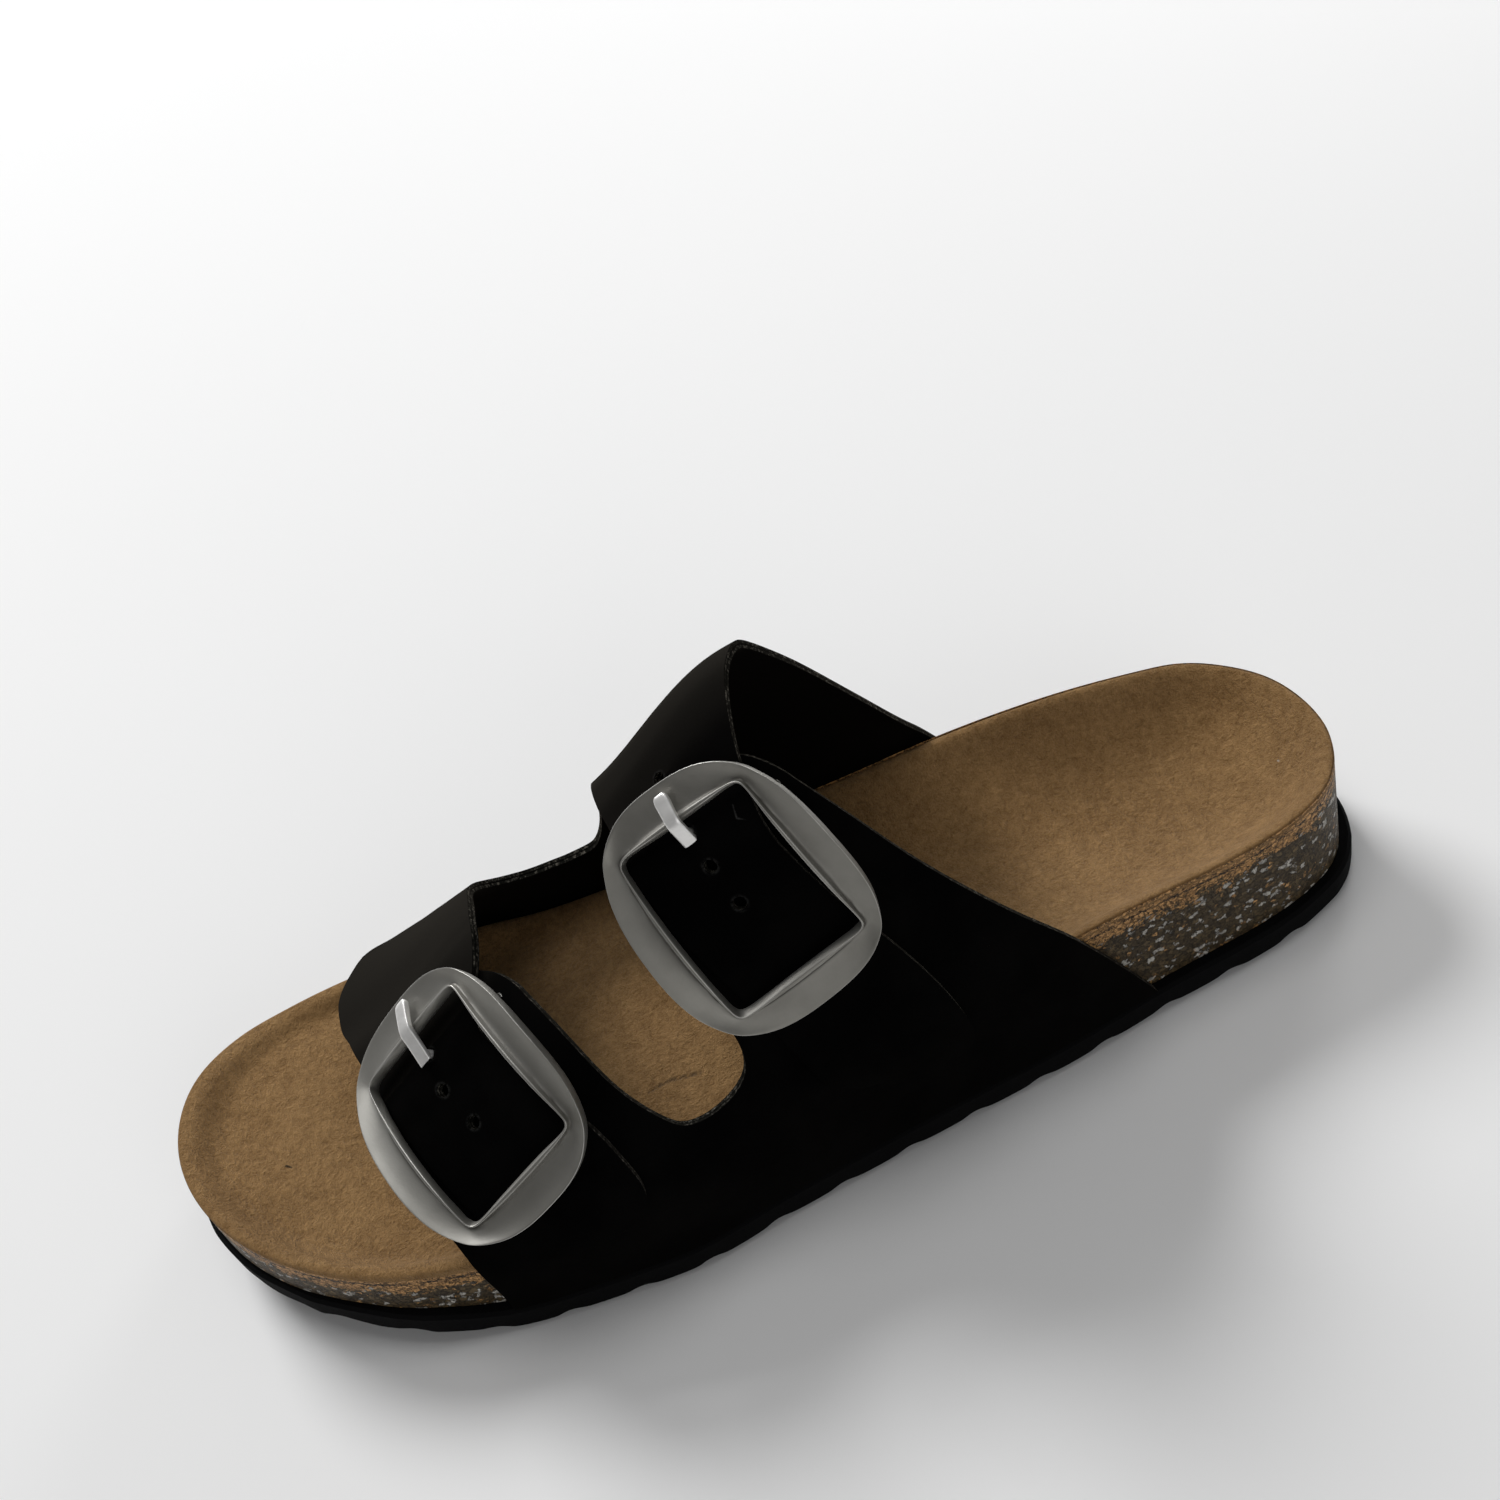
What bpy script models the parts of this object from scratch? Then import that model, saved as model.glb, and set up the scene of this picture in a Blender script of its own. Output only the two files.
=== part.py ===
"""Two-strap cork footbed sandal, left shoe. Metres, +Z up, toe toward -Y, outer side toward +X.
Origin: on the ground under the middle of the heel rest."""
import bisect
import math

import bmesh
import bpy
from mathutils import Vector

# Driving sizes, metres
LENGTH = 0.255          # outsole, heel to toe
HEEL_REST = 0.0300      # heel end to the origin
HALF_BALL = 0.0465      # outsole half width at the ball
OUTSOLE_T = 0.0078      # outsole side thickness
OUTSOLE_TURN = 0.0014   # how far the outsole edge turns under
TOE_SPRING = 0.0090     # lift of the outsole under the toe tip
WAVE_PITCH = 0.0150     # one lug and one groove
WAVE_GROOVE = 0.0088    # groove width
WAVE_DEPTH = 0.0013     # groove depth
CORK_INSET = 0.0025     # shelf between outsole edge and cork wall
RIM_EDGE = 0.0005       # rounding of the footbed's top edge
RIM_H = 0.0340          # footbed rim above the ground at the heel
BED_H = 0.0225          # footbed floor above the ground at the heel
INSOLE_T = 0.0015       # suede layer
INSTEP_H = 0.1045       # top of the rear strap above the ground
LEATHER = 0.0018        # upper leather
GAP = 0.0003            # between solids
WALL_GAP = 0.0005       # between cork wall and leather
LAY_GAP = 0.00045       # between the tab and the strap over it
BAR_GAP = 0.00036       # between the buckle's bar and the leather on both sides
HOLE_D = 0.0026         # punched strap holes
OPEN_LONG = 0.0352      # buckle opening along the strap
OPEN_WIDE = 0.0288      # buckle opening across the strap
OPEN_R = 0.0022         # opening corner radius
FRAME_LONG = 0.0500     # buckle outer size along the strap
FRAME_WIDE = 0.0425     # buckle outer size across the strap
FRAME_T = 0.0032        # buckle height
FRAME_BEND = 0.0580     # bend radius of the buckle along the strap
FRAME_LIFT = 0.0064     # underside of the buckle over the inner leather face
BAR_D = 0.0010          # axle bar under the strap
BAR_FLAT = 0.0023       # straight part of the bar past the opening edge
LEG_OUT = 0.0050        # opening edge to the bar's bent end
BAR_EASE = 0.0050       # how far the strap eases down on the crown side of the bar
BAR_FALL = 0.0090       # how far it eases down on the other side
PRONG_W = 0.0029        # prong width over the frame
PRONG_PIN = 0.0019      # prong width in the strap's hole
PRONG_OVER = 0.0050     # how far the prong lies over the frame
PRONG_TAIL = 0.0017     # how far it reaches past its hole
PRONG_T = 0.0015        # prong thickness

# Outline: station from heel, outer half width, inner half width (shares of HALF_BALL)
OUTLINE = (
    (0.00, 0.00, 0.00), (0.03, 0.37, -0.44), (0.10, 0.535, -0.66), (0.20, 0.625, -0.70),
    (0.30, 0.73, -0.685), (0.42, 0.82, -0.645), (0.54, 0.92, -0.72), (0.64, 1.01, -0.85),
    (0.74, 0.99, -0.955), (0.83, 0.915, -0.93), (0.91, 0.705, -0.85), (0.97, 0.38, -0.60),
    (1.00, -0.10, -0.10),
)
# Rim: station, outer height, inner height (shares of RIM_H)
RIM = (
    (0.00, 1.01, 1.01), (0.12, 1.00, 1.07), (0.30, 1.09, 1.155), (0.42, 1.00, 1.16),
    (0.52, 0.92, 0.97), (0.60, 0.85, 0.77), (0.67, 0.77, 0.64), (0.75, 0.705, 0.62),
    (0.90, 0.785, 0.66), (1.00, 0.915, 0.915),
)
# Floor of the footbed: station, height (share of BED_H)
BED = (
    (0.00, 1.04), (0.14, 1.00), (0.30, 1.10), (0.44, 1.17), (0.58, 0.99), (0.72, 0.82),
    (0.82, 0.83), (0.90, 0.92), (1.00, 1.17),
)
# Shelf beside the cork: station, outer width, inner width (shares of CORK_INSET)
SHELF = (
    (0.00, 1.0, 1.0), (0.80, 1.0, 1.0), (0.90, 0.62, 1.0), (0.97, 0.45, 0.85), (1.00, 0.60, 0.60),
)
# Toe spring: station, lift (share of TOE_SPRING)
SPRING = ((0.00, 0.0), (0.76, 0.0), (0.83, 0.40), (0.90, 0.80), (1.00, 1.0))
# Footbed section: way from wall to middle, fall at the toe, at the heel cup, at the arch
BED_RINGS = (
    (0.030, 1.00, 1.00, 1.00), (0.085, 0.86, 0.93, 0.97), (0.170, 0.24, 0.72, 0.84),
    (0.320, 0.02, 0.38, 0.56), (0.600, 0.00, 0.10, 0.16), (0.920, 0.00, 0.00, 0.00),
)
# Blend of those falls: station, heel cup part, arch part on the inner side
BLEND = (
    (0.00, 1.0, 0.0), (0.22, 0.9, 0.3), (0.42, 0.35, 1.0), (0.60, 0.10, 0.5), (0.74, 0.0, 0.0),
    (1.00, 0.0, 0.0),
)
# Arch of the upper: station, crown height (share of INSTEP_H), crown offset (share of HALF_BALL),
# length of the wall handle (share of the rise), length of the outer and of the inner crown handle
# (shares of the half width)
ARCH = (
    (0.20, 1.03, -0.08, 0.45, 0.52, 0.50), (0.43, 1.00, -0.10, 0.45, 0.52, 0.50),
    (0.56, 0.79, -0.14, 0.46, 0.54, 0.47), (0.69, 0.595, -0.16, 0.50, 0.62, 0.34),
    (0.80, 0.415, -0.16, 0.54, 0.68, 0.32), (0.90, 0.33, -0.16, 0.56, 0.68, 0.32),
)
# Lean of the upper over the rim, by side
LEAN = {1: 0.22, -1: 0.30}

# Edges of the leather: way round the section from outer to inner sole edge, station
PANEL_REAR = (
    (0.0, 0.213), (0.133, 0.267), (0.179, 0.295), (0.221, 0.321), (0.295, 0.364), (0.375, 0.406),
    (0.414, 0.428), (0.458, 0.451), (0.50, 0.472),
)
PANEL_FRONT = (
    (0.0, 0.773), (0.032, 0.774), (0.117, 0.780), (0.184, 0.788), (0.246, 0.797), (0.33, 0.805),
    (0.51, 0.808),
)
NOTCH_REAR = (
    (0.184, 0.572), (0.1852, 0.562), (0.189, 0.552), (0.195, 0.544), (0.205, 0.537),
    (0.227, 0.534), (0.26, 0.537), (0.328, 0.549), (0.42, 0.567), (0.51, 0.586),
)
NOTCH_FRONT = (
    (0.184, 0.572), (0.1855, 0.582), (0.190, 0.591), (0.199, 0.599), (0.213, 0.606),
    (0.244, 0.619), (0.273, 0.629), (0.373, 0.655), (0.51, 0.692),
)
NOTCH_SPLIT = (0.184, 0.572)
TAB_END = {"rear": (0.484, 0.20), "front": (0.500, 0.0)}
TAB_CORNER = 0.009
STRAP_REAR_R = (
    (0.08, 0.366), (0.134, 0.371), (0.20, 0.389), (0.261, 0.412), (0.319, 0.436), (0.403, 0.457),
    (0.449, 0.456), (0.478, 0.452), (0.505, 0.446), (0.53, 0.437), (0.56, 0.423), (0.60, 0.405),
    (0.718, 0.358), (0.865, 0.300), (0.95, 0.258), (1.0, 0.235),
)
STRAP_REAR_F = (
    (0.08, 0.470), (0.116, 0.477), (0.145, 0.488), (0.269, 0.516), (0.33, 0.532), (0.383, 0.545),
    (0.43, 0.550), (0.491, 0.558), (0.561, 0.565), (0.66, 0.573), (0.72, 0.579), (0.755, 0.586),
    (0.778, 0.594), (0.787, 0.606), (0.790, 0.622),
)
STRAP_FRONT_R = (
    (0.08, 0.632), (0.145, 0.636), (0.242, 0.652), (0.316, 0.679), (0.364, 0.692), (0.402, 0.701),
    (0.45, 0.701), (0.493, 0.692), (0.525, 0.688), (0.567, 0.690), (0.66, 0.694), (0.72, 0.691),
    (0.75, 0.684), (0.766, 0.675), (0.779, 0.660), (0.787, 0.642), (0.790, 0.622),
)
STRAP_FRONT_F = (
    (0.08, 0.728), (0.109, 0.735), (0.18, 0.753), (0.260, 0.773), (0.324, 0.787), (0.393, 0.798),
    (0.472, 0.811), (0.540, 0.821), (0.601, 0.831), (0.66, 0.831), (0.75, 0.817), (0.86, 0.797),
    (1.0, 0.775),
)
STRAP_SPLIT = (0.790, 0.622)
STRAP_CORNER = 0.0065
STRAP_END = {"rear": 0.098, "front": 0.112}
# Slant of the rows across each strap: way, change of way over a change of station
STRAP_SLANT = {
    "rear": ((0.10, 0.36), (0.20, -0.10), (0.28, -0.20), (0.44, 0.02), (0.58, 0.0), (0.80, 0.0)),
    "front": ((0.11, -0.09), (0.24, -0.60), (0.43, -0.41), (0.60, 0.0), (0.80, 0.0)),
}
OVERLAP = (0.508, 0.600)    # where the strap steps down past the tab's end

# Buckles: name, then way and station of the opening's corners: crown side at the heel and at the
# toe, sole side at the toe and at the heel
BUCKLES = (
    ("front", (0.449, 0.695), (0.418, 0.799), (0.210, 0.760), (0.272, 0.660)),
    ("rear", (0.442, 0.459), (0.442, 0.547), (0.273, 0.518), (0.292, 0.425)),
)
# Prong: hole back from the crown-side edge, hole across, tip across
PRONGS = {"front": (0.0040, 0.0004, -0.0028), "rear": (0.0024, 0.0005, -0.0004)}
# Spare holes: way round the section, station
HOLES = ((0.487, 0.509), (0.397, 0.500), (0.354, 0.493), (0.367, 0.746), (0.312, 0.733))

SOLE_STATIONS = 36
STATION_GAP = 0.0012
COLS = 7
BASE_ROWS = (0.0, 0.5, 1.0, 1.5, 2.0)   # split row, rim row at 1, foot row at 2
TAB_ROWS = (0.1852, 0.1895, 0.197, 0.210, 0.235, 0.27, 0.31, 0.35, 0.39, 0.425, 0.4555)
STRAP_ROWS = (
    0.145, 0.175, 0.21, 0.245, 0.28, 0.315, 0.345, 0.372, 0.400, 0.430, 0.457, 0.485, 0.511,
    0.526, 0.541, 0.556, 0.585, 0.625, 0.665, 0.705, 0.74, 0.763, 0.777, 0.7845, 0.7887,
)
BAR_ROWS = (-1.8, -1.1, -0.6, -0.2, 0.2, 0.6, 1.0)  # shares of BAR_EASE beside the bar
ROW_APART = 0.012       # least way between the rounded end and the next row

COLOURS = {
    "outsole": ((0.012, 0.012, 0.013, 1), 0.85, 0.0),
    "cork": ((0.105, 0.068, 0.042, 1), 0.9, 0.0),
    "suede": ((0.235, 0.130, 0.062, 1), 0.95, 0.0),
    "leather": ((0.016, 0.016, 0.018, 1), 0.7, 0.0),
    "pewter": ((0.33, 0.31, 0.285, 1), 0.38, 0.9),
    "steel": ((0.72, 0.71, 0.69, 1), 0.2, 1.0),
}


def smooth(table, column):
    """Monotone cubic through one column of a table."""
    xs = [row[0] for row in table]
    ys = [row[column] for row in table]
    steps = [xs[i + 1] - xs[i] for i in range(len(xs) - 1)]
    slopes = [(ys[i + 1] - ys[i]) / steps[i] for i in range(len(steps))]
    m = [slopes[0]]
    for a, b in zip(slopes, slopes[1:]):
        m.append(0.0 if a * b <= 0 else 2 * a * b / (a + b))
    m.append(slopes[-1])

    def value(x):
        x = min(max(x, xs[0]), xs[-1])
        i = max(0, min(len(steps) - 1, bisect.bisect_right(xs, x) - 1))
        t = (x - xs[i]) / steps[i]
        return ((2 * t ** 3 - 3 * t ** 2 + 1) * ys[i] + (t ** 3 - 2 * t ** 2 + t) * steps[i] * m[i]
                + (3 * t ** 2 - 2 * t ** 3) * ys[i + 1] + (t ** 3 - t ** 2) * steps[i] * m[i + 1])
    return value


def round_station(s):
    """Angle that spreads the stations round the heel and toe ends."""
    return math.acos(max(-1.0, min(1.0, 1 - 2 * s)))


_half = {side: smooth([(round_station(r[0]), r[1], r[2]) for r in OUTLINE], k)
         for side, k in ((1, 1), (-1, 2))}
_rim = {1: smooth(RIM, 1), -1: smooth(RIM, 2)}
_bed, _spring = smooth(BED, 1), smooth(SPRING, 1)
_shelf = {1: smooth(SHELF, 1), -1: smooth(SHELF, 2)}
_cup, _arch_part = smooth(BLEND, 1), smooth(BLEND, 2)
_crown, _crown_x = smooth(ARCH, 1), smooth(ARCH, 2)
_wall_handle, _crown_handle = smooth(ARCH, 3), {1: smooth(ARCH, 4), -1: smooth(ARCH, 5)}


def along(s):
    return HEEL_REST - LENGTH * s


def half(s, side):
    return HALF_BALL * _half[side](round_station(s))


def lift(s):
    return TOE_SPRING * _spring(s)


def shelf(s, side):
    return CORK_INSET * _shelf[side](s)


def rim(s, side):
    return RIM_H * _rim[side](s)


def floor_of(s):
    return BED_H * _bed(s)


def outline_point(s, side, inset=0.0, way=None):
    """Point of the outline moved inward by a length, then by a share of the way to the middle."""
    x, y = half(s, side), along(s)
    q = min(max(s, 0.15), 0.82)
    cx, cy = (half(q, 1) + half(q, -1)) / 2, along(q)
    dx, dy = cx - x, cy - y
    d = math.hypot(dx, dy)
    k = inset / d
    if way is not None:
        k = k + (1 - k) * way
    return x + dx * k, y + dy * k


def loop(stations, point):
    """Closed ring: heel end, outer side to the toe, inner side back."""
    n = len(stations) - 1
    return ([point(stations[0], 1)] + [point(s, 1) for s in stations[1:n]]
            + [point(stations[n], 1)] + [point(s, -1) for s in reversed(stations[1:n])])


def ring_solid(name, rings, colour):
    """Skin a stack of rings, with a strip of quads across the first and the last."""
    count = len(rings[0])
    n = count // 2
    verts = [p for ring in rings for p in ring]
    faces = []
    for r in range(len(rings) - 1):
        for i in range(count):
            j = (i + 1) % count
            faces.append((r * count + i, r * count + j, (r + 1) * count + j, (r + 1) * count + i))
    for r, flip in ((0, True), (len(rings) - 1, False)):
        base = r * count
        for i in range(n):
            a, b = base + i, base + i + 1
            c, d = base + (count - i - 1) % count, base + (count - i) % count
            cap = [a, b, c, d] if i else [a, b, c]
            if i == n - 1:
                cap = [a, b, d]
            faces.append(tuple(reversed(cap)) if flip else tuple(cap))
    return add(name, verts, faces, colour)


def section(s):
    """Inner face of the upper at a station, from the outer to the inner sole edge."""
    crown, cx = INSTEP_H * _crown(s), HALF_BALL * _crown_x(s)
    foot = lift(s) + OUTSOLE_T + GAP
    sides = {}
    for side in (1, -1):
        lean, base, top = LEAN[side], _wall_handle(s), _crown_handle[side](s)
        xw = half(s, side) - side * (shelf(s, side) - WALL_GAP)
        zr = rim(s, side)
        rise = crown - zr
        p = ((xw, zr), (xw - side * lean * base * rise, zr + base * rise),
             (cx + side * top * abs(xw - cx), crown), (cx, crown))
        pts = [(xw, foot)]
        for i in range(25):
            t = i / 24
            w = ((1 - t) ** 3, 3 * t * (1 - t) ** 2, 3 * t * t * (1 - t), t ** 3)
            pts.append((sum(a * q[0] for a, q in zip(w, p)), sum(a * q[1] for a, q in zip(w, p))))
        sides[side] = pts
    pts = sides[1] + sides[-1][::-1][1:]
    run = [0.0]
    for a, b in zip(pts, pts[1:]):
        run.append(run[-1] + math.dist(a, b))
    return pts, run


_sections = {}


def arch(t, s):
    key = round(s, 6)
    if key not in _sections:
        _sections[key] = section(s)
    pts, run = _sections[key]
    d = t * run[-1]
    i = max(0, min(len(pts) - 2, bisect.bisect_right(run, d) - 1))
    u = (d - run[i]) / (run[i + 1] - run[i])
    return Vector((pts[i][0] + (pts[i + 1][0] - pts[i][0]) * u, along(s),
                   pts[i][1] + (pts[i + 1][1] - pts[i][1]) * u))


def girth(s):
    arch(0.5, s)
    return _sections[round(s, 6)][1][-1]


def rim_way(s, side):
    """Way round the section at which the wall ends and the arch starts."""
    wall = (rim(s, side) - lift(s) - OUTSOLE_T - GAP) / girth(s)
    return wall if side > 0 else 1 - wall


def leather_point(t, s, off):
    """Point over the inner face of the upper, off along its outward normal."""
    e = 0.004
    across = arch(min(1.0, t + e), s) - arch(max(0.0, t - e), s)
    forward = arch(t, s + e) - arch(t, s - e)
    return arch(t, s) + across.cross(forward).normalized() * off


def rounded(d, r):
    """How far a corner of radius r cuts in at distance d from the end."""
    return 0.0 if d >= r else r - math.sqrt(max(0.0, r * r - (r - max(d, 0.0)) ** 2))


def strap_lift(t, s):
    """Inner face of the strap over the inner face of the upper."""
    lo, hi = OVERLAP
    k = min(1.0, max(0.0, (hi - t) / (hi - lo)))
    off = (LEATHER + LAY_GAP) * k * k * (3 - 2 * k)
    if t > hi:
        return off
    local = buckle_frame(BUCKLES[0] if s > STRAP_SPLIT[1] else BUCKLES[1])
    point = leather_point(t, s, off)
    d = (point - local["middle"]).dot(local["a"]) - local["a_bar"]
    ease = BAR_EASE if d > 0 else BAR_FALL
    k = min(1.0, max(0.0, (ease - abs(d)) / (ease - BAR_D * 0.75)))
    return off + max(0.0, local["c_strap"] - local["height"](point)) * k * k * (3 - 2 * k)


def sheet(name, cells, place, colour):
    """Leather sheet from a grid of keyed cells: outer face, inner face and the cut edge."""
    keys = sorted({k for cell in cells for k in cell})
    index = {k: i for i, k in enumerate(keys)}
    verts = [place(k, True) for k in keys] + [place(k, False) for k in keys]
    n = len(keys)
    faces, edges = [], {}
    for cell in cells:
        ids = [index[k] for k in cell]
        faces.append(tuple(ids))
        faces.append(tuple(n + i for i in reversed(ids)))
        for a, b in zip(ids, ids[1:] + ids[:1]):
            edges[(a, b)] = edges.get((a, b), 0) + 1
    for a, b in edges:
        if (b, a) not in edges:
            faces.append((b, a, n + a, n + b))
    return add(name, verts, faces, colour)


def branch(tag, rows, edges, join, first):
    """Cells of one tab or strap between its two edges; join is the last row, held by the base."""
    spots, cells = {}, []
    for r, (t, cut, slant) in enumerate(rows):
        low, high = edges[0](t), edges[1](t)
        mid = (low + high) / 2
        for _ in range(6):
            low, high = edges[0](t + slant * (low - mid)), edges[1](t + slant * (high - mid))
        low, high = low + cut, high - cut
        for c in range(COLS + 1):
            s = low + (high - low) * c / COLS
            spots[(tag, r, c)] = (t + slant * (s - mid), s)
    names = [[(tag, r, c) for c in range(COLS + 1)] for r in range(len(rows))]
    names.append([("base", join, first + c) for c in range(COLS + 1)])
    for a, b in zip(names, names[1:]):
        for c in range(COLS):
            cells.append((a[c], a[c + 1], b[c + 1], b[c]))
    return spots, cells


def base_block(rows, rear, front, split):
    """Cells of the wall that both tabs or straps grow from."""
    spots, cells = {}, []
    way, station = split
    side = 1 if way < 0.5 else -1
    for r, k in enumerate(rows):
        foot = 0.0 if side > 0 else 1.0

        def level(s):
            edge = rim_way(s, side)
            return way + (edge - way) * k if k <= 1 else edge + (foot - edge) * (k - 1)
        low, high = rear(way), front(way)
        for _ in range(6):
            low, high = rear(level(low)), front(level(high))
        for c in range(2 * COLS + 1):
            part = c / COLS if c <= COLS else c / COLS - 1
            s = low + (station - low) * part if c <= COLS else station + (high - station) * part
            spots[("base", r, c)] = (level(s), s)
    for r in range(len(rows) - 1):
        for c in range(2 * COLS):
            cells.append((("base", r, c), ("base", r, c + 1),
                          ("base", r + 1, c + 1), ("base", r + 1, c)))
    return spots, cells


def add(name, verts, faces, colour):
    mesh = bpy.data.meshes.new(name)
    mesh.from_pydata([tuple(v) for v in verts], [], faces)
    bm = bmesh.new()
    bm.from_mesh(mesh)
    bmesh.ops.recalc_face_normals(bm, faces=bm.faces[:])
    if bm.calc_volume(signed=True) < 0:
        bmesh.ops.reverse_faces(bm, faces=bm.faces[:])
    bmesh.ops.triangulate(bm, faces=bm.faces[:])
    bm.to_mesh(mesh)
    bm.free()
    obj = bpy.data.objects.new(name, mesh)
    PARTS.objects.link(obj)
    mesh.materials.append(MATERIALS[colour])
    return obj


def boolean(target, tool, operation):
    mod = target.modifiers.new(operation.lower(), "BOOLEAN")
    mod.operation = operation
    mod.solver = "EXACT"
    mod.object = tool


def as_cutter(obj):
    PARTS.objects.unlink(obj)
    CUTTERS.objects.link(obj)
    obj.hide_render = True
    obj.display_type = "WIRE"
    return obj


def sweep(name, path, side, widths, height, colour, sides=8, square=1.0):
    """Bar with an oval section along a path; side is the direction that stays across. A square
    below 1 flattens the section's top, foot and flanks."""
    def swell(value):
        return math.copysign(abs(value) ** square, value) / 2
    verts, faces = [], []
    for i, p in enumerate(path):
        ahead = (path[min(i + 1, len(path) - 1)] - path[max(i - 1, 0)]).normalized()
        up = side.cross(ahead).normalized()
        for k in range(sides):
            a = 2 * math.pi * (k + 0.5) / sides
            verts.append(p + side * (swell(math.cos(a)) * widths[i])
                         + up * (swell(math.sin(a)) * height))
    for i in range(len(path) - 1):
        for k in range(sides):
            j = (k + 1) % sides
            faces.append((i * sides + k, i * sides + j, (i + 1) * sides + j, (i + 1) * sides + k))
    faces.append(tuple(reversed(range(sides))))
    faces.append(tuple((len(path) - 1) * sides + k for k in range(sides)))
    return add(name, verts, faces, colour)


def make_outsole():
    stations = [(1 - math.cos(math.pi * i / 60)) / 2 for i in range(61)]
    stations = [s for s in stations if s < 0.05 or s > 0.955]
    waves = int((LENGTH - 2 * WAVE_GROOVE) / WAVE_PITCH)
    start = (LENGTH - waves * WAVE_PITCH) / 2
    grooves = [start + WAVE_PITCH * (k + 0.5) for k in range(waves)]
    for g in grooves:
        for k in (-0.5, -0.25, 0.0, 0.25, 0.5):
            stations.append((g + k * WAVE_GROOVE) / LENGTH)
    stations = sorted(stations)
    kept = [stations[0]]
    for s in stations[1:]:
        if s - kept[-1] > STATION_GAP / LENGTH or s == 1.0:
            kept.append(s)
    stations = kept

    def groove(s):
        d = min(abs(s * LENGTH - g) for g in grooves) / (WAVE_GROOVE / 2)
        return 0.0 if d >= 1 else WAVE_DEPTH * 0.5 * (1 + math.cos(math.pi * d))

    def ring(inset, height, part):
        return loop(stations, lambda s, side: (*outline_point(s, side, inset),
                                               lift(s) + height + part * groove(s)))
    turn = OUTSOLE_TURN
    return ring_solid("outsole", [
        ring(turn, 0.0, 1.0), ring(turn * 0.12, turn * 1.1, 0.7),
        ring(0.0, OUTSOLE_T - turn * 0.6, 0.0), ring(turn * 0.5, OUTSOLE_T, 0.0)], "outsole")


def bed_height(s, side, row, drop):
    """Height of the footbed surface on a ring, drop below the skin."""
    way, toe, cup, arch_fall = row
    y = outline_point(s, side, shelf(s, side), way)[1]
    here = (HEEL_REST - y) / LENGTH
    k_cup = _cup(s)
    k_arch = _arch_part(s) if side < 0 else 0.0
    fall = toe + (cup - toe) * k_cup
    fall = fall + (arch_fall - fall) * k_arch
    return floor_of(here) + (rim(s, side) - floor_of(s)) * fall - drop


def make_bed():
    stations = [(1 - math.cos(math.pi * i / SOLE_STATIONS)) / 2 for i in range(SOLE_STATIONS + 1)]

    def flat(inset, height):
        return loop(stations, lambda s, side: (*outline_point(s, side, shelf(s, side) + inset),
                                               height(s, side)))

    def bed(row, drop):
        return loop(stations, lambda s, side: (*outline_point(s, side, shelf(s, side), row[0]),
                                               bed_height(s, side, row, drop)))
    under = INSOLE_T + GAP
    cork = [flat(0.0, lambda s, side: lift(s) + OUTSOLE_T + GAP),
            flat(0.0, lambda s, side: rim(s, side) - under - RIM_EDGE),
            flat(RIM_EDGE * 0.4, lambda s, side: rim(s, side) - under)]
    cork += [bed(row, under) for row in BED_RINGS]
    ring_solid("midsole", cork, "cork")
    skin = [bed(row, INSOLE_T) for row in reversed(BED_RINGS)]
    skin += [flat(0.0, lambda s, side: rim(s, side) - INSOLE_T),
             flat(RIM_EDGE * 0.4, lambda s, side: rim(s, side) - RIM_EDGE)]
    skin += [bed(row, 0.0) for row in BED_RINGS]
    ring_solid("insole", skin, "suede")


def make_upper_lateral():
    rear, front = smooth(PANEL_REAR, 1), smooth(PANEL_FRONT, 1)
    spots, cells = base_block(BASE_ROWS, rear, front, NOTCH_SPLIT)
    for tag, edges, first, mid in (("rear", (rear, smooth(NOTCH_REAR, 1)), 0, 0.52),
                                   ("front", (smooth(NOTCH_FRONT, 1), front), COLS, 0.75)):
        rows = []
        (end, slant), reach = TAB_END[tag], TAB_CORNER / girth(mid)
        for k in (0.0, 0.10, 0.30, 0.60, 1.0):
            rows.append((end - reach * k, rounded(TAB_CORNER * k, TAB_CORNER) / LENGTH, slant))
        for t in reversed(TAB_ROWS):
            if t < end - reach - 0.010:
                rows.append((t, 0.0, slant * max(0.0, min(1.0, (t - 0.30) / 0.13))))
        more, faces = branch(tag, rows, edges, 0, first)
        spots.update(more)
        cells += faces
    return sheet("upper_lateral", cells,
                 lambda k, outer: leather_point(*spots[k], LEATHER if outer else 0.0), "leather")


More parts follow.
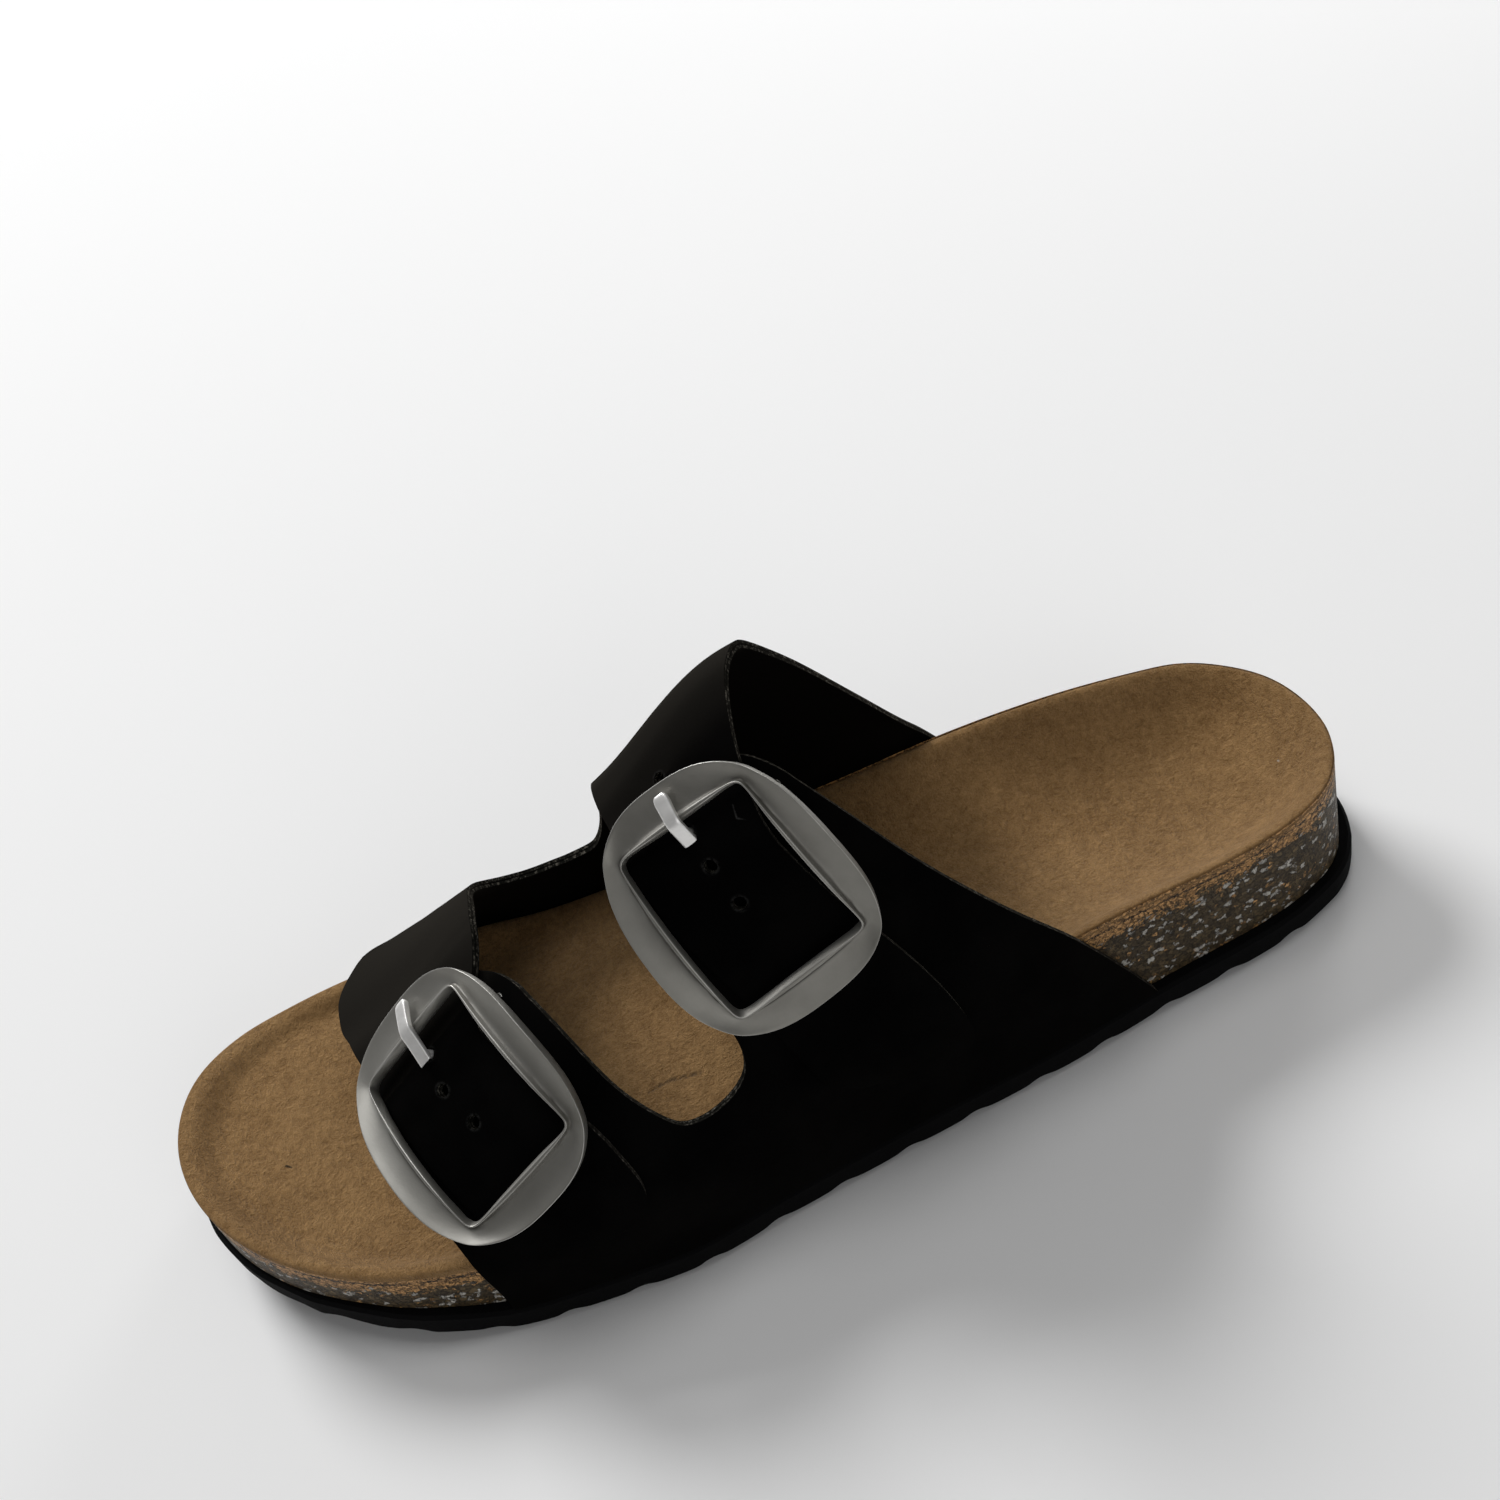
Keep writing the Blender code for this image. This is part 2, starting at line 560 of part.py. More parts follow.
def make_upper_medial():
    rear, front = smooth(STRAP_REAR_R, 1), smooth(STRAP_FRONT_F, 1)
    spots, cells = base_block(BASE_ROWS, rear, front, STRAP_SPLIT)
    for tag, edges, first, buckle in (
            ("rear", (rear, smooth(STRAP_REAR_F, 1)), 0, BUCKLES[1]),
            ("front", (smooth(STRAP_FRONT_R, 1), front), COLS, BUCKLES[0])):
        local, slant, end = buckle_frame(buckle), smooth(STRAP_SLANT[tag], 1), STRAP_END[tag]
        reach = STRAP_CORNER / girth(buckle[1][1])
        rows = [(end + reach * k, rounded(STRAP_CORNER * k, STRAP_CORNER) / LENGTH)
                for k in (0.0, 0.10, 0.30, 0.60, 1.0)]
        ease = BAR_EASE * local["t_step"]
        rows += [(local["t_bar"] + ease * k, 0.0) for k in BAR_ROWS]
        rows += [(t, 0.0) for t in STRAP_ROWS
                 if t > end + reach + ROW_APART
                 and not -2.1 * ease < t - local["t_bar"] < 1.25 * ease]
        rows = [(t, cut, slant(t)) for t, cut in sorted(rows)]
        more, faces = branch(tag, rows, edges, 0, first)
        spots.update(more)
        cells += faces

    def place(k, outer):
        t, s = spots[k]
        return leather_point(t, s, strap_lift(t, s) + (LEATHER if outer else 0.0))
    strap = sheet("upper_medial", cells, place, "leather")
    pins = []
    for t, s in HOLES:
        side = (leather_point(t, s + 0.01, 0.0) - leather_point(t, s - 0.01, 0.0)).normalized()
        low, high = strap_lift(t, s) - LEATHER, strap_lift(t, s) + 2 * LEATHER
        pins.append((leather_point(t, s, low), leather_point(t, s, high), side))
    for buckle in BUCKLES:
        local = buckle_frame(buckle)
        spot = (local["a_root"], local["b_root"])
        pins.append((local["place"](*spot, local["c_strap"] - LEATHER * 0.6),
                     local["place"](*spot, local["c_strap"] + LEATHER * 2), local["b"]))
    for i, (base, top, side) in enumerate(pins):
        pin = sweep("hole_%d" % i, [base, top], side, [HOLE_D] * 2, HOLE_D, "leather", 10)
        boolean(strap, as_cutter(pin), "DIFFERENCE")
    return strap


_frames = {}


def buckle_frame(buckle):
    """Local frame of a buckle: strap direction a, across b, outward c, with its bar and prong.
    It bends along the strap and twists as the leather under it does."""
    if buckle[0] in _frames:
        return _frames[buckle[0]]
    p = [leather_point(*spot, FRAME_LIFT) for spot in buckle[1:]]
    e_a = (p[0] + p[1] - p[2] - p[3]).normalized()
    e_b = p[1] + p[2] - p[0] - p[3]
    e_b = (e_b - e_a * e_b.dot(e_a)).normalized()
    out = e_a.cross(e_b).normalized()
    middle = (p[0] + p[1] + p[2] + p[3]) / 4
    half_a, half_b = OPEN_LONG / 2, OPEN_WIDE / 2
    twist = (p[1] + p[3] - p[0] - p[2]).dot(out) / (4 * half_a * half_b)
    sag = FRAME_BEND - math.sqrt(FRAME_BEND ** 2 - half_a ** 2)

    def place(a, b, c):
        w = a / FRAME_BEND
        r = FRAME_BEND + c
        return (middle + e_a * (r * math.sin(w)) + e_b * b
                + out * (r * math.cos(w) - FRAME_BEND + sag + twist * a * b))

    def height(point):
        a, b = (point - middle).dot(e_a), (point - middle).dot(e_b)
        return (point - place(a, b, 0.0)).dot(out)

    def spot(a, b):
        u, v = (a / half_a + 1) / 2, (b / half_b + 1) / 2
        crown = [buckle[1][k] + (buckle[2][k] - buckle[1][k]) * v for k in (0, 1)]
        sole = [buckle[4][k] + (buckle[3][k] - buckle[4][k]) * v for k in (0, 1)]
        return [sole[k] + (crown[k] - sole[k]) * u for k in (0, 1)]
    hole_back, hole_b, _ = PRONGS[buckle[0]]
    a_root = half_a - hole_back
    a_bar = a_root - BAR_D / 2 - PRONG_PIN / 2 - 2 * GAP
    reach = half_b + BAR_FLAT
    tab = max(height(leather_point(*spot(a_bar, reach * k / 4), LEATHER)) for k in range(-4, 5))
    c_bar = tab + BAR_GAP + BAR_D / 2
    _frames[buckle[0]] = {
        "place": place, "height": height, "a": e_a, "b": e_b, "middle": middle, "a_bar": a_bar,
        "c_bar": c_bar, "c_strap": c_bar + BAR_D / 2 + BAR_GAP, "a_root": a_root, "b_root": hole_b,
        "t_bar": spot(a_bar, 0.0)[0], "t_step": spot(1.0, 0.0)[0] - spot(0.0, 0.0)[0]}
    return _frames[buckle[0]]


def frame_loops():
    """Opening and outer edge of the buckle as matching points, seen flat."""
    inner, outer = [], []
    a, b = OPEN_LONG / 2, OPEN_WIDE / 2
    marks = []
    for cx, cy, start in ((a, b, 0), (-a, b, 90), (-a, -b, 180), (a, -b, 270)):
        ox, oy = cx - math.copysign(OPEN_R, cx), cy - math.copysign(OPEN_R, cy)
        for k in (0, 45, 90):
            w = math.radians(start + k)
            marks.append((ox + OPEN_R * math.cos(w), oy + OPEN_R * math.sin(w)))
    full = []
    for i, p in enumerate(marks):
        q = marks[(i + 1) % len(marks)]
        full.append(p)
        if i % 3 == 2:
            for k in range(1, 6):
                full.append((p[0] + (q[0] - p[0]) * k / 6, p[1] + (q[1] - p[1]) * k / 6))
    for x, y in full:
        inner.append((x, y))
        w = math.atan2(y / (OPEN_WIDE / 2), x / (OPEN_LONG / 2))
        c, s = math.cos(w), math.sin(w)
        k = (abs(c) ** 2.7 + abs(s) ** 2.7) ** (-1 / 2.7)
        outer.append((FRAME_LONG / 2 * c * k, FRAME_WIDE / 2 * s * k))
    return inner, outer


LIP_H = 0.86        # height of the inner lip, share of FRAME_T
# Section of the buckle: way from opening to outer edge, height (share of FRAME_T)
FRAME_SECTION = (
    (0.00, 0.08), (0.00, LIP_H - 0.08), (0.05, LIP_H), (0.12, LIP_H - 0.02), (0.20, 0.58),
    (0.42, 0.60), (0.70, 0.76), (0.90, 0.95), (0.965, 1.00), (1.00, 0.92), (1.00, 0.38),
    (0.90, 0.14), (0.50, 0.00),
)


def make_buckle(buckle):
    local = buckle_frame(buckle)
    place, e_a, e_b = local["place"], local["a"], local["b"]
    inner, outer = frame_loops()
    count = len(inner)
    verts, faces = [], []
    for way, high in FRAME_SECTION:
        for (x0, y0), (x1, y1) in zip(inner, outer):
            verts.append(place(x0 + (x1 - x0) * way, y0 + (y1 - y0) * way, high * FRAME_T))
    rows = len(FRAME_SECTION)
    for r in range(rows):
        q = (r + 1) % rows
        for i in range(count):
            j = (i + 1) % count
            faces.append((r * count + i, r * count + j, q * count + j, q * count + i))
    frame = add("buckle_" + buckle[0], verts, faces, "pewter")
    a_bar, c_bar = local["a_bar"], local["c_bar"]
    reach, flat = OPEN_WIDE / 2 + LEG_OUT, OPEN_WIDE / 2 + BAR_FLAT
    path = [place(a_bar, -reach, FRAME_T * 0.4), place(a_bar, -flat, c_bar),
            place(a_bar, flat, c_bar), place(a_bar, reach, FRAME_T * 0.4)]
    corner = BAR_D * 0.9
    up0, up1 = (path[0] - path[1]).normalized(), (path[3] - path[2]).normalized()
    line = [path[0], path[1] + up0 * corner, path[1] + up0 * corner * 0.3 + e_b * corner * 0.3,
            path[1] + e_b * corner, path[2] - e_b * corner,
            path[2] + up1 * corner * 0.3 - e_b * corner * 0.3, path[2] + up1 * corner, path[3]]
    bar = as_cutter(sweep("bar_" + buckle[0], line, e_a, [BAR_D] * len(line), BAR_D, "pewter"))
    boolean(frame, bar, "UNION")


def make_prong(buckle):
    local = buckle_frame(buckle)
    place, a_root = local["place"], local["a_root"]
    _, b0, b1 = PRONGS[buckle[0]]
    low, edge, end = a_root - PRONG_TAIL, OPEN_LONG / 2, OPEN_LONG / 2 + PRONG_OVER
    high = FRAME_T * LIP_H + 2 * GAP + PRONG_T / 2
    over = local["c_strap"] + LEATHER + 2 * GAP + PRONG_T / 2

    def lying(a, drop=0.0):
        rise = min(1.0, (a - low) / (edge - low))
        across = b0 + (b1 - b0) * (a - a_root) / (end - a_root)
        return place(a, across, over + (high - over) * rise - drop)
    path = [lying(low), lying(low + PRONG_T / 2), lying(edge - PRONG_T), lying(edge),
            lying(edge + PRONG_OVER / 2), lying(end - PRONG_T * 0.3), lying(end, PRONG_T * 0.15)]
    prong = sweep("prong_" + buckle[0], path, local["b"], [PRONG_W] * 6 + [PRONG_W * 0.7], PRONG_T,
                  "steel", square=0.5)
    foot = place(a_root, b0, local["c_bar"] - BAR_D * 0.4)
    pin = sweep("pin_" + buckle[0], [foot, lying(a_root)], local["b"], [PRONG_PIN] * 2, PRONG_PIN,
                "steel")
    boolean(prong, as_cutter(pin), "UNION")


for old in list(bpy.data.objects):
    bpy.data.objects.remove(old, do_unlink=True)
PARTS = bpy.data.collections.new("cork_footbed_sandal")
CUTTERS = bpy.data.collections.new("cutters")
for group in (PARTS, CUTTERS):
    bpy.context.scene.collection.children.link(group)
MATERIALS = {}
for label, (colour, rough, metal) in COLOURS.items():
    material = bpy.data.materials.new(label)
    material.use_nodes = True
    shader = material.node_tree.nodes["Principled BSDF"]
    shader.inputs["Base Color"].default_value = colour
    shader.inputs["Roughness"].default_value = rough
    shader.inputs["Metallic"].default_value = metal
    MATERIALS[label] = material

make_outsole()
make_bed()
make_upper_lateral()
make_upper_medial()
for each in BUCKLES:
    make_buckle(each)
    make_prong(each)
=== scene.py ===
# %% [markdown]
# # A cork footbed sandal
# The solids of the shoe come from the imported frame. They have the right form and size, but they are
# faceted and bare. Each cell below takes one piece, looks at what it is on the real shoe, and gives
# it a smooth skin and a finish made of nodes.

import math

import bmesh
import bpy
from mathutils import Euler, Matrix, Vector, kdtree


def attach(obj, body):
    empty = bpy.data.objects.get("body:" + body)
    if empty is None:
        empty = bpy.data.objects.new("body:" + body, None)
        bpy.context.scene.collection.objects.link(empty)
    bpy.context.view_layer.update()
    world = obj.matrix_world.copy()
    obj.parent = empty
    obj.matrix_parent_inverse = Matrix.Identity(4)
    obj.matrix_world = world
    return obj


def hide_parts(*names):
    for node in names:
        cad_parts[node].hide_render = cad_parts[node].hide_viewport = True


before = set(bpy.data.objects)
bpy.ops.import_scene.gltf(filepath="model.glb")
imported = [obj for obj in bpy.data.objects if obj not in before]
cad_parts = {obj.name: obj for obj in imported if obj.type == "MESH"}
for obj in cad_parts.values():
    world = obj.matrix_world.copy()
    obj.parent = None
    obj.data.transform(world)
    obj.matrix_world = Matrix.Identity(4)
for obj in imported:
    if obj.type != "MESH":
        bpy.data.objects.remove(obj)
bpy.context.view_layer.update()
MM = 0.001
print("solids:", ", ".join(sorted(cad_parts)))

# %% [markdown]
# ## The camera
# A product photo is taken from a little above and to one side, with a long lens. The angle and the
# distance are those that put the sole's outline and its ground line where the picture has them.
# The focal length is first worked out in pixels, then turned into millimetres of lens.

# %% Camera
PHOTO_SIDE = 1500
FOCAL_PX = 2199.67
SENSOR = 36.0
CAMERA_AT = Vector((0.27636, -0.09047, 0.38894))
CAMERA_TURN = (40.791, 13.407, 73.770)

lens = bpy.data.cameras.new("camera")
lens.sensor_width = SENSOR
lens.lens = FOCAL_PX / PHOTO_SIDE * SENSOR
camera = bpy.data.objects.new("camera", lens)
camera.location = CAMERA_AT
camera.rotation_euler = Euler([math.radians(a) for a in CAMERA_TURN])
bpy.context.scene.collection.objects.link(camera)
bpy.context.scene.camera = camera
print("lens", round(lens.lens, 1), "mm")

# %% [markdown]
# ## Writing materials as sums
# A node graph is hard to read as a list of links. This small class lets an output socket stand in
# a sum, so that a mask reads like school maths, and one method adds every other node.


# %% Helpers for materials
class Wire:
    """An output socket that can stand in a sum."""

    def __init__(self, finish, socket):
        self.finish, self.socket = finish, socket

    def maths(self, operation, *values):
        return self.finish.node("ShaderNodeMath", {"operation": operation}, *values)

    def __add__(self, other):
        return self.maths("ADD", self, other)

    def __sub__(self, other):
        return self.maths("SUBTRACT", self, other)

    def __rsub__(self, other):
        return self.maths("SUBTRACT", other, self)

    def __mul__(self, other):
        return self.maths("MULTIPLY", self, other)

    __radd__ = __add__
    __rmul__ = __mul__

    def __neg__(self):
        return self.maths("MULTIPLY", self, -1.0)

    def most(self, other):
        return self.maths("MAXIMUM", self, other)

    def least(self, other):
        return self.maths("MINIMUM", self, other)

    def size(self):
        return self.maths("ABSOLUTE", self)

    def step(self, low, high):
        """0 below low, 1 above high, and a smooth way between them."""
        settings = {"interpolation_type": "SMOOTHSTEP", "clamp": True}
        return self.finish.node("ShaderNodeMapRange", settings, self, low, high, 0.0, 1.0)


class Finish:
    """A material whose Principled shader is filled in by name."""

    def __init__(self, name, **constants):
        self.material = bpy.data.materials.new(name)
        self.material.use_nodes = True
        self.tree = self.material.node_tree
        self.shader = self.tree.nodes["Principled BSDF"]
        for key, value in constants.items():
            self.shader.inputs[key.replace("_", " ")].default_value = value
        self.place = self.node("ShaderNodeTexCoord", out="Object")

    def node(self, kind, settings=None, *values, out=0, **named):
        node = self.tree.nodes.new(kind)
        for key, value in (settings or {}).items():
            if key == "stops":
                ramp = node.color_ramp
                while len(ramp.elements) < len(value):
                    ramp.elements.new(0.5)
                for element, (at, colour) in zip(ramp.elements, value):
                    element.position, element.color = at, (*colour, 1)
            else:
                setattr(node, key, value)
        for socket, value in list(enumerate(values)) + list(named.items()):
            if isinstance(value, Wire):
                self.tree.links.new(value.socket, node.inputs[socket])
            else:
                node.inputs[socket].default_value = value
        return Wire(self, node.outputs[out])

    def scaled(self, x, y, z, at=None):
        """The place, squeezed along an axis so that a grain runs one way."""
        return self.node("ShaderNodeMapping", {}, at or self.place, Scale=(x, y, z))

    def vector(self, operation, *values, out=0, **named):
        settings = {"operation": operation}
        return self.node("ShaderNodeVectorMath", settings, *values, out=out, **named)

    def ruffled(self, scale, reach, detail):
        """The place, pushed about by a noise of its own for x, y and z."""
        push = self.node("ShaderNodeTexNoise", {}, self.place, Scale=scale, Detail=detail,
                         Roughness=0.65, out=1)
        push = self.vector("SUBTRACT", push, (0.5, 0.5, 0.5))
        return self.vector("ADD", self.place, self.vector("SCALE", push, Scale=reach))

    def random(self, scale, at, channel=0):
        """A value that is the same all over each cell and differs from cell to cell."""
        colour = self.cells(scale, at, out="Color")
        return self.node("ShaderNodeSeparateColor", {}, colour, out=channel)

    def from_line(self, points):
        """Distance to a line through points given in millimetres."""
        nearest = None
        for a, b in zip(points, points[1:]):
            a, b = Vector(a) * MM, Vector(b) * MM
            way = b - a
            here = self.vector("SUBTRACT", self.place, tuple(a))
            share = self.vector("DOT_PRODUCT", here, tuple(way / way.length_squared), out=1)
            share = self.node("ShaderNodeClamp", {}, share)
            foot = self.vector("SCALE", tuple(way), Scale=share)
            far = self.vector("DISTANCE", here, foot, out=1)
            nearest = far if nearest is None else nearest.least(far)
        return nearest

    def noise(self, scale, detail, rough, at=None):
        return self.node("ShaderNodeTexNoise", {}, at or self.place, Scale=scale, Detail=detail,
                         Roughness=rough)

    def cells(self, scale, at, feature="F1", out="Distance"):
        return self.node("ShaderNodeTexVoronoi", {"feature": feature}, at, Scale=scale, out=out)

    def named(self, attribute):
        return self.node("ShaderNodeAttribute", {"attribute_name": attribute}, out="Fac")

    def blend(self, share, first, second):
        node = self.tree.nodes.new("ShaderNodeMix")
        node.data_type = "RGBA"
        for socket, value in ((0, share), (6, first), (7, second)):
            if isinstance(value, Wire):
                self.tree.links.new(value.socket, node.inputs[socket])
            elif socket:
                node.inputs[socket].default_value = (*value, 1)
            else:
                node.inputs[socket].default_value = value
        return Wire(self, node.outputs[2])

    def bump(self, height, distance, strength):
        return self.node("ShaderNodeBump", {}, strength, distance, Height=height)

    def fill(self, **inputs):
        for key, value in inputs.items():
            self.tree.links.new(value.socket, self.shader.inputs[key.replace("_", " ")])
        return self


# %% [markdown]
# ## From facets to skin
# A solid arrives as loose triangles. Its copy is merged and its triangles are paired into quads,
# because Subdivision Surface rounds quads evenly. Rounding alone would shrink a piece, so the cage
# is first pushed out until the rounded skin passes through the solid's own points. Where the real
# piece has a crisp edge, the edge is creased, and a narrow bevel breaks it afterwards.


# %% Helpers for pieces
def select_only(obj):
    bpy.ops.object.select_all(action="DESELECT")
    obj.select_set(True)
    bpy.context.view_layer.objects.active = obj


def merged_copy(node, name):
    """A closed copy of a solid, its triangles paired into quads."""
    piece = bpy.data.objects.new(name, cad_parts[node].data.copy())
    bpy.context.scene.collection.objects.link(piece)
    piece.data.materials.clear()
    select_only(piece)
    bpy.ops.mesh.customdata_custom_splitnormals_clear()
    bpy.ops.object.mode_set(mode="EDIT")
    bpy.ops.mesh.select_all(action="SELECT")
    bpy.ops.mesh.remove_doubles(threshold=0.01 * MM)
    bpy.ops.mesh.tris_convert_to_quads(face_threshold=math.radians(35),
                                       shape_threshold=math.radians(55))
    bpy.ops.object.mode_set(mode="OBJECT")
    return piece


def crease(piece, angle):
    """Keeps the edges sharper than an angle crisp while the piece is rounded."""
    select_only(piece)
    bpy.ops.object.mode_set(mode="EDIT")
    bpy.ops.mesh.select_mode(type="EDGE")
    bpy.ops.mesh.select_all(action="DESELECT")
    bpy.ops.mesh.edges_select_sharp(sharpness=math.radians(angle))
    bpy.ops.transform.edge_crease(value=1.0)
    bpy.ops.object.mode_set(mode="OBJECT")


ROUND_LEVELS = 2
PUSH_ROUNDS, PUSH_SHARE = 2, 0.9


def rounded(piece):
    """Rounds the piece through its own points and shades it smooth."""
    select_only(piece)
    mod = piece.modifiers.new("round", "SUBSURF")
    mod.levels = mod.render_levels = ROUND_LEVELS
    goal = [v.co.copy() for v in piece.data.vertices]
    for _ in range(PUSH_ROUNDS):
        skin = piece.evaluated_get(bpy.context.evaluated_depsgraph_get()).data
        pushes = [(at - v.co) * PUSH_SHARE for at, v in zip(goal, skin.vertices)]
        for v, push in zip(piece.data.vertices, pushes):
            v.co += push
        piece.data.update()
    bpy.ops.object.modifier_apply(modifier=mod.name)
    bpy.ops.object.shade_smooth()


def broken_edges(piece, angle, width):
    """A narrow bevel along the edges that are still sharp, which catches the light."""
    select_only(piece)
    mod = piece.modifiers.new("edges", "BEVEL")
    mod.limit_method, mod.angle_limit = "ANGLE", math.radians(angle)
    mod.width, mod.segments, mod.harden_normals = width, 2, True
    bpy.ops.object.modifier_apply(modifier=mod.name)


def keep(piece, name, values):
    """Stores one value a point, for the material to read."""
    attribute = piece.data.attributes.new(name, "FLOAT", "POINT")
    for item, value in zip(attribute.data, values):
        item.value = value


FAR = 20 * MM


def nearest_spots(piece, spots, flat=False):
    """For each point of the piece, the number of the nearest spot and how far away it is.

    With flat, all is seen from above and heights do not count.
    """
    def seen(at):
        return (at.x, at.y, 0.0) if flat else at

    tree = kdtree.KDTree(len(spots))
    for i, spot in enumerate(spots):
        tree.insert(seen(spot), i)
    tree.balance()
    return [tree.find(seen(v.co))[1:] for v in piece.data.vertices]


def distances(piece, spots, flat=False):
    return [min(FAR, far) for _, far in nearest_spots(piece, spots, flat)]


def share_of(value, start, end):
    """0 before start, 1 after end, and a smooth way between them."""
    k = min(1.0, max(0.0, (value - start) / (end - start)))
    return k * k * (3 - 2 * k)


def keep_bulge(piece):
    """Stores how much the skin bulges out (above 0) or dips in (below 0) at each point."""
    mesh = piece.data
    total, count = [0.0] * len(mesh.vertices), [0] * len(mesh.vertices)
    for edge in mesh.edges:
        a, b = (mesh.vertices[i] for i in edge.vertices)
        way = (b.co - a.co).normalized()
        for v, sign in ((a, -1), (b, 1)):
            total[v.index] += sign * way.dot(v.normal)
            count[v.index] += 1
    keep(piece, "bulge", [t / max(1, c) for t, c in zip(total, count)])


def put_on(piece, finish, node):
    """Gives the piece its finish and lets it stand for its solid."""
    piece.data.materials.append(finish.material)
    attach(piece, "root")
    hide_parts(node)
    print(piece.name, len(piece.data.polygons), "faces")


# %% [markdown]
# ## The outsole
# The sole is cut from a sheet of black EVA foam, thin and light, with shallow waves underneath.
# Round the toe the waves run out through the edge, so its lower outline is scalloped. Foam has a
# fine closed skin: almost no gloss, with a faint grain that only shows at the edge.

# %% Outsole
SCALLOP_PITCH, SCALLOP_DEPTH = 9.5 * MM, 0.7 * MM
SCALLOP_FROM, SCALLOP_FULL = 2 * MM, 7 * MM
TOE_START, TOE_END = -175 * MM, -200 * MM
TOE_MIDDLE = Vector((0.0, -165 * MM, 0.0))
SOLE_SHARP = 32

outsole = merged_copy("outsole", "sole_outsole")
crease(outsole, SOLE_SHARP)
rounded(outsole)
top_of = max(v.co.z for v in outsole.data.vertices if v.co.y < TOE_END)
for v in outsole.data.vertices:
    toe = share_of(v.co.y, TOE_START, TOE_END)
    if toe and v.normal.z < 0.3:
        out = v.co - TOE_MIDDLE
        turn = math.atan2(out.x, -out.y) * math.hypot(out.x, out.y)
        low = share_of(v.co.z, top_of - SCALLOP_FROM, top_of - SCALLOP_FULL)
        wave = 0.5 + 0.5 * math.cos(2 * math.pi * turn / SCALLOP_PITCH)
        v.co.z += toe * low * SCALLOP_DEPTH * wave
broken_edges(outsole, SOLE_SHARP, 0.25 * MM)
foam = Finish("foam", Roughness=0.85, Specular_IOR_Level=0.06)
grain = foam.noise(2600.0, 4.0, 0.6)
cloudy = foam.noise(90.0, 2.0, 0.5)
colour = foam.blend(cloudy * 0.6 + grain * 0.4, (0.0010, 0.0010, 0.0012), (0.0040, 0.0040, 0.0042))
foam.fill(Base_Color=colour, Normal=foam.bump(grain, 0.12 * MM, 0.6))
put_on(outsole, foam, "outsole")

# %% [markdown]
# ## The suede
# The lining is split leather with its nap up. It has no shine: a broad, even matte colour that is
# mottled where fingers and tools brushed the nap, over a fine pebbled grain. Round the toe its edge
# stands up as a soft bead with a shallow valley inside it.

# %% Suede
BEAD_AT, BEAD_UP = 2.6 * MM, 0.25 * MM
VALLEY_AT, VALLEY_DOWN = 6.4 * MM, 0.55 * MM
SPREAD = 2.2 * MM

lining = merged_copy("insole", "suede_lining")
rounded(lining)
rim_spots = [v.co.copy() for v in lining.data.vertices if abs(v.normal.z) < 0.35]
from_rim = distances(lining, rim_spots, flat=True)
for v, d in zip(lining.data.vertices, from_rim):
    toe = share_of(v.co.y, -120 * MM, -180 * MM)
    if v.normal.z > 0.3:
        v.co.z += toe * (BEAD_UP * math.exp(-((d - BEAD_AT) / SPREAD) ** 2)
                         - VALLEY_DOWN * math.exp(-((d - VALLEY_AT) / SPREAD) ** 2))
keep(lining, "from_rim", from_rim)
suede = Finish("suede", Roughness=0.95, Specular_IOR_Level=0.08, Sheen_Weight=0.10,
               Sheen_Roughness=0.5)
brushed = suede.scaled(1.0, 0.85, 1.0)
patches = suede.noise(34.0, 3.0, 0.55)
mottle = suede.noise(330.0, 4.0, 0.62, brushed)
pebbles = suede.noise(980.0, 5.0, 0.68, brushed)
nap = suede.noise(2700.0, 3.0, 0.7)
tone = (patches.step(0.3, 0.7) * 0.20 + mottle.step(0.28, 0.72) * 0.26
        + pebbles.step(0.34, 0.66) * 0.28 + nap.step(0.36, 0.64) * 0.26)
colour = suede.blend(tone, (0.205, 0.104, 0.030), (0.560, 0.335, 0.138))
edge_wear = (1.0 - suede.named("from_rim").step(0.2 * MM, 1.6 * MM)) * nap.step(0.35, 0.6)
colour = suede.blend(edge_wear * 0.5, colour, (0.30, 0.165, 0.060))
# Small marks of this very shoe: two dark flecks, a short crease dented in and darkened with painted
# shade, and a grain of dust
fleck = suede.from_line([(1.6, -204.3, 21.6), (2.3, -203.3, 21.6)])
fleck = fleck.least(suede.from_line([(-3.1, -215.8, 25.8), (-2.7, -215.6, 25.8)]))
fold = suede.from_line([(16.4, -127.9, 21.0), (16.2, -123.0, 21.6), (17.7, -117.0, 22.5)])
dust = suede.from_line([(0.2, 17.0, 27.6), (0.6, 17.2, 27.6)])
crease_dent_and_shade = (1.0 - (fold + nap * 0.0008).step(0.4 * MM, 1.1 * MM)) * pebbles.step(0.35, 0.6)
# The crease is dented by the bump and darkened with painted shade
colour = suede.blend(crease_dent_and_shade * 0.75, colour, (0.060, 0.032, 0.012))
colour = suede.blend((1.0 - fleck.step(0.15 * MM, 0.42 * MM)) * 0.9, colour, (0.020, 0.012, 0.006))
colour = suede.blend((1.0 - dust.step(0.10 * MM, 0.32 * MM)) * 0.8, colour, (0.62, 0.60, 0.55))
suede.fill(Base_Color=colour,
           Normal=suede.bump(mottle * 0.6 + pebbles + nap * 0.5 - crease_dent_and_shade * 0.4, 2.4 * MM, 0.85))
put_on(lining, suede, "insole")

# %% [markdown]
# ## The cork
# The footbed is ground cork pressed with latex. Its side shows crumbs of every kind: mostly dark
# brown ones, some pale grey, and tan ones that break out in a ragged band right under the suede,
# where the block was trimmed. Cells of two sizes give each crumb its outline, a ruffled place makes
# the outlines ragged, and each cell's own random value chooses its kind.

# %% Cork
CORK_SHARP = 40
CRUMBS, SMALL_CRUMBS, FINE_CRUMBS = 700.0, 1150.0, 1900.0
# How far under the suede's rim the painted shadow line runs
GAP_SHADOW_BELOW = 1.9 * MM

